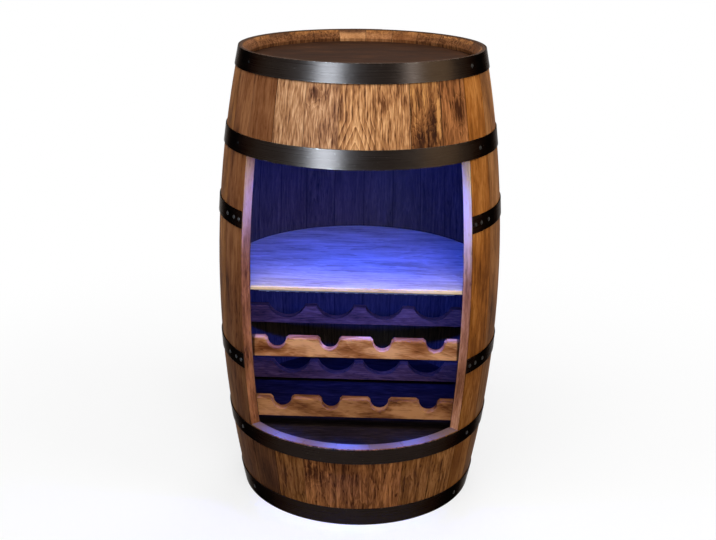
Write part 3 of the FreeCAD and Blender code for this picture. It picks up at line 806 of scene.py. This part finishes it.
strip_silicone = glowing_finish("strip_silicone", colour(70, 72, 80), colour(92, 95, 104), 0.06)
led_chip = glowing_finish("led_chip", colour(84, 82, 66), colour(104, 100, 84), 0.15)
print("light strips have their finishes")

# %% Paint the small fittings
FITTINGS = {
    "hoop_nails": hoop_nail_steel,
    "hoop_rivets": nail_steel,
    "cleat_screws": screw_steel,
    "cable_grommet": grommet_rubber,
    "controller_pad": pad_foam,
    "led_controller": controller_plastic,
    "led_strip_top": strip_silicone,
    "led_strip_shelf": strip_silicone,
    "led_chips_top": led_chip,
    "led_chips_shelf": led_chip,
}
for name, material in FITTINGS.items():
    paint(name, material)
print(f"{len(FITTINGS)} small fittings finished")

# %% [markdown]
# ## The studio floor
# The floor is plain and pale. What the camera and reflections see of it is mostly a white glow of strength
# 1, so it stays white to the horizon, mixed with a matt surface that takes the cabinet's shadow. The light
# that the floor throws back is that of a duller surface.

# %% Lay the floor
bpy.ops.object.select_all(action="DESELECT")
bpy.ops.mesh.primitive_circle_add(vertices=96, radius=30, fill_type="NGON", location=(0, 0, 0))
floor = bpy.context.object
floor.name = "studio_floor"
bpy.ops.object.transform_apply()

paper = Finish("floor_paper", roughness=0.9, specular_ior_level=0.1)
rays = paper.add("LightPath").node.outputs
mirrored = paper.maths("MAXIMUM", rays["Is Glossy Ray"], rays["Is Transmission Ray"])
seen = paper.maths("MAXIMUM", rays["Is Camera Ray"], mirrored)
matt = paper.add("BsdfDiffuse", {"Color": paper.mix(seen, (0.12, 0.12, 0.12, 1.0), (0.8, 0.8, 0.8, 1.0))})
glow = paper.add("Emission", {"Color": (1.0, 1.0, 1.0, 1.0), "Strength": 1.0})
out_there = paper.fade(paper.length(paper.place, (1, 1, 0)), 0.3, 1.4, 0.7, 1.0)
mixed = paper.add("MixShader", {0: paper.maths("MULTIPLY", seen, out_there), 1: matt, 2: glow})
paper.tree.links.new(mixed, paper.tree.nodes["Material Output"].inputs["Surface"])
floor.data.materials.append(paper.material)
print("floor laid")

# %% [markdown]
# ## The lamps
# A large soft lamp high in front lights the upper half more than the lower, as the barrel's sides lean.
# Weaker ones in front, at both sides and behind keep the rest readable. Three lamps are seen by reflections
# alone: a large one on the left and a small one on the right draw the streaks on the two upper hoops, and a
# broad warm one further right spreads a faint sheen beside them.

# %% Set the lamps
scene = bpy.context.scene
scene.view_settings.view_transform = "Standard"


def lamp(name, azimuth, height, distance, size, power, tint=(1, 1, 1), aim=(0, 0, 0.45),
         gloss_only=False, spread=180):
    """A rectangular lamp at an angle from the front towards +X, aimed at a point."""
    light = bpy.data.lights.new(name, "AREA")
    light.shape = "RECTANGLE"
    light.size, light.size_y = size
    light.energy = power
    light.color = tint
    light.spread = math.radians(spread)
    turn = math.radians(azimuth)
    place = Vector((distance * math.sin(turn), -distance * math.cos(turn), height))
    made = bpy.data.objects.new(name, light)
    made.location = place
    made.visible_diffuse = not gloss_only
    made.rotation_euler = (Vector(aim) - place).to_track_quat("-Z", "Y").to_euler()
    scene.collection.objects.link(made)
    return made


lamp("key_lamp", -8, 2.7, 1.2, (1.6, 1.2), 36)
lamp("front_lamp", 12, 1.3, 2.5, (1.2, 0.8), 18).visible_glossy = False
lamp("right_lamp", 65, 2.2, 2.0, (1.0, 1.0), 24)
lamp("left_lamp", -65, 2.2, 2.0, (1.0, 1.0), 14)
lamp("back_lamp", 170, 2.0, 2.2, (1.4, 1.2), 26).visible_glossy = False

SILVER = (0.66, 1.0, 1.4)
COOL = (0.85, 1.0, 1.1)
WARM = (1.0, 0.84, 0.51)
gloss_at_top = {"aim": (0, 0, 0.8), "gloss_only": True}
lamp("left_strip_lamp", -26, 0.9, 2.2, (0.75, 0.9), 185, SILVER, **gloss_at_top)
lamp("right_strip_lamp", 45, 1.25, 2.2, (0.4, 0.4), 14, COOL, **gloss_at_top)
lamp("right_glow_lamp", 68, 1.0, 2.2, (1.3, 0.9), 16, WARM, **gloss_at_top)
print("lamps set")

# %% [markdown]
# ## The world
# The world fills the shadows evenly and weakly, and is plain white where the camera or a reflection sees
# it. The kind of ray that asks decides which of the two strengths it gets.

# %% Light the world
SHADOW_FILL = 0.26
world = bpy.data.worlds.new("studio")
scene.world = world
world.use_nodes = True
tree = world.node_tree
background = tree.nodes["Background"]
path = tree.nodes.new("ShaderNodeLightPath")
either = tree.nodes.new("ShaderNodeMath")
either.operation = "MAXIMUM"
tree.links.new(path.outputs["Is Glossy Ray"], either.inputs[0])
tree.links.new(path.outputs["Is Transmission Ray"], either.inputs[1])
visible = tree.nodes.new("ShaderNodeMath")
visible.operation = "MAXIMUM"
tree.links.new(path.outputs["Is Camera Ray"], visible.inputs[0])
tree.links.new(either.outputs[0], visible.inputs[1])
strength = tree.nodes.new("ShaderNodeMapRange")
strength.inputs["To Min"].default_value = SHADOW_FILL
strength.inputs["To Max"].default_value = 1.0
tree.links.new(visible.outputs[0], strength.inputs["Value"])
tree.links.new(strength.outputs["Result"], background.inputs["Strength"])
background.inputs["Color"].default_value = (1.0, 1.0, 1.0, 1.0)
print("world lit")

# %% [markdown]
# ## The blue light
# The strips' chips are too small to light the inside without noise, so small lamps stand just in front of
# them and do it: five along the arc above the opening, four under the shelf, and three more that stand for
# the part of the shelf's light that reaches the lower rim of the opening. Along the arc the middle lamp is
# the strongest and the left ones are the weakest.

# %% Set the blue lamps
top_strip_low, top_strip_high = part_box("led_strip_top")
TOP_STRIP_Z = (top_strip_low[2] + top_strip_high[2]) / 2
TOP_LAMP_STEP = 14
for index, power in enumerate((0.45, 0.6, 1.0, 0.9, 0.7)):
    azimuth = (index - 2) * TOP_LAMP_STEP
    lamp(f"top_blue_lamp_{index + 1}", azimuth, TOP_STRIP_Z, 0.19, (0.05, 0.012), power, LED_BLUE,
         aim=(0, 0.06, 0.45), spread=150)

UNDER_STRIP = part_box("led_strip_shelf")[0][2] - 3 * MM
SHELF_LAMP_STEP = 90 * MM
for index in range(4):
    made = lamp(f"shelf_blue_lamp_{index + 1}", 0, UNDER_STRIP, 0.13, (0.08, 0.012), 0.8, LED_BLUE,
                aim=(0, 0.1, 0.2), spread=110)
    made.location.x = (index - 1.5) * SHELF_LAMP_STEP

RIM_BLUE = (0.02, 0.1, 1.0)
RIM_RADIUS = curve(OPENING_LOW) - STAVE_THICKNESS * 0.7
for azimuth, power in ((-33, 0.1), (-4, 0.2), (26, 0.1)):
    turn = math.radians(azimuth)
    rim = (RIM_RADIUS * math.sin(turn), -RIM_RADIUS * math.cos(turn), OPENING_LOW)
    lamp(f"rim_blue_lamp_{azimuth}", azimuth, 0.34, 0.275, (0.06, 0.014), power, RIM_BLUE, aim=rim, spread=27)
print("blue lamps set")

# %% [markdown]
# ## The camera
# The camera stands a little over two metres away, above the cabinet and almost in front of it, and looks
# down.

# %% Place the camera
CAMERA_PLACE = (0.0637, -2.0309, 1.0783)
HEADING = math.radians(1.856)
LOOK_DOWN = math.radians(18.531)
ROLL = math.radians(0.815)
lens = bpy.data.cameras.new("camera")
lens.lens = 59.87
lens.sensor_width = 36.0
camera = bpy.data.objects.new("camera", lens)
turned_round = Matrix.Rotation(HEADING, 4, "Z")
turned_down = Matrix.Rotation(math.pi / 2 - LOOK_DOWN, 4, "X")
tilted = Matrix.Rotation(ROLL, 4, "Z")
camera.matrix_world = Matrix.Translation(CAMERA_PLACE) @ turned_round @ turned_down @ tilted
scene.collection.objects.link(camera)
scene.camera = camera
print(f"camera {Vector(CAMERA_PLACE).length:.2f} m from the cabinet's foot")
